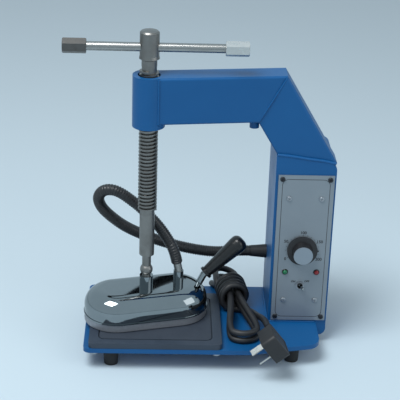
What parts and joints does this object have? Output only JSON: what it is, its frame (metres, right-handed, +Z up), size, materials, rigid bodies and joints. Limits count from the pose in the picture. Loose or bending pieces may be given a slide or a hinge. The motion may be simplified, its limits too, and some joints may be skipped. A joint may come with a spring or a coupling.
{
  "type": "rubber mold vulcanizer",
  "caption": "Bench screw press for tyre patches: a heated iron on a screw under a gooseneck arm, over a padded platen, beside a control column with dial, lamps and switch.",
  "frame": {"origin": "centre of the press's footprint box, without its mains cord and hose, on the surface that the feet stand on", "axes": "+X to the control column's side, +Y to the back, +Z up; the front with the panel and dial faces -Y"},
  "size_m": [0.2854, 0.2444, 0.353],
  "materials": {
    "blue_paint": "blue powder coat, slightly textured",
    "platen_paint": "dark blue grey enamel",
    "pad_rubber": "dense flat sheet",
    "foot_rubber": "moulded",
    "zinc_steel": "zinc plated",
    "bronze": "machined bronze",
    "machined_steel": "turned, lightly oiled",
    "chrome": "polished plating",
    "cast_aluminium": "cast, ground flat",
    "heater_sheet": "oxidised steel",
    "panel_grey": "grey anodised sheet",
    "black_plastic": "moulded, satin",
    "satin_aluminium": "satin disc",
    "green_lens": "clear coloured lens",
    "red_lens": "clear coloured lens",
    "cord_rubber": "soft black sheath",
    "plug_metal": "nickel plated"
  },
  "bodies": {
    "stand": {"arm": "blue_paint", "base_plate": "blue_paint", "base_screws": "zinc_steel", "chassis_brackets": "zinc_steel", "column_shell": "blue_paint", "cord_hank": "cord_rubber", "cord_wraps": "cord_rubber", "foot_front_left": "foot_rubber", "foot_front_right": "foot_rubber", "foot_rear_left": "foot_rubber", "foot_rear_right": "foot_rubber", "front_panel": "panel_grey", "gooseneck": "blue_paint", "green_lamp": "green_lens", "hook_peg": "blue_paint", "hose_grommet": "cord_rubber", "lamp_holders": "black_plastic", "lower_platen": "platen_paint", "mains_cord_rear": "cord_rubber", "mains_cord_tail": "cord_rubber", "mains_strain_relief": "cord_rubber", "nut_boss": "blue_paint", "panel_corner_screws": "zinc_steel", "panel_fixing_screws": "zinc_steel", "platen_pad": "pad_rubber", "plug_body": "black_plastic", "plug_pins": "plug_metal", "power_hose": "cord_rubber", "rear_cover": "blue_paint", "rear_cover_screws": "zinc_steel", "red_lamp": "red_lens", "screw_nut": "bronze", "terminal_block": "black_plastic", "thermostat": "black_plastic", "toggle_body": "black_plastic", "toggle_nut": "zinc_steel"},
    "carriage": {"thrust_pad": "bronze"},
    "screw": {"lead_screw": "machined_steel"},
    "bar": {"tommy_bar": "machined_steel", "bar_cap_left": "machined_steel", "bar_cap_right": "machined_steel"},
    "iron": {"iron_dome": "chrome", "iron_sole": "cast_aluminium", "heating_element": "heater_sheet", "clamp_plate": "zinc_steel", "clamp_screws": "zinc_steel", "sensor_bulb": "heater_sheet", "handle_rod": "chrome", "handle_bolster": "black_plastic", "handle_grip": "black_plastic", "ball_socket": "chrome", "socket_pins": "zinc_steel", "gland_socket": "chrome", "hose_ferrule": "chrome", "hose_end": "cord_rubber"},
    "knob": {"thermostat_spindle": "zinc_steel", "knob_body": "black_plastic", "knob_cap": "satin_aluminium", "knob_grub_screw": "zinc_steel"},
    "toggle": {"toggle_lever": "chrome"}
  },
  "joints": [
    {"name": "press_travel", "type": "slide", "parent": "stand", "child": "carriage", "axis": [0, 0, 1], "range_m": [0, 0.09], "deforming": ["power_hose"]},
    {"name": "screw_turn", "type": "hinge", "parent": "carriage", "child": "screw", "pos_m": [-0.05525, -0.0071, 0.2], "axis": [0, 0, 1], "range_deg": [0, 8110]},
    {"name": "bar_slide", "type": "slide", "parent": "screw", "child": "bar", "axis": [1, 0, 0], "range_m": [-0.066, 0.053]},
    {"name": "iron_swivel", "type": "hinge", "parent": "carriage", "child": "iron", "pos_m": [-0.05525, -0.0071, 0.07], "axis": [0, 0, 1], "range_deg": [-12, 12], "deforming": ["hose_end"]},
    {"name": "knob_turn", "type": "hinge", "parent": "stand", "child": "knob", "pos_m": [0.11135, -0.0171, 0.1133], "axis": [0, -1, 0], "range_deg": [-30, 210]},
    {"name": "toggle_flip", "type": "hinge", "parent": "stand", "child": "toggle", "pos_m": [0.11135, -0.0101, 0.0713], "axis": [0, 0, 1], "range_deg": [-28, 0]}
  ],
  "couplings": [
    {"joint": "screw_turn", "follows": "press_travel", "rad_per_m": 1570.8}
  ]
}
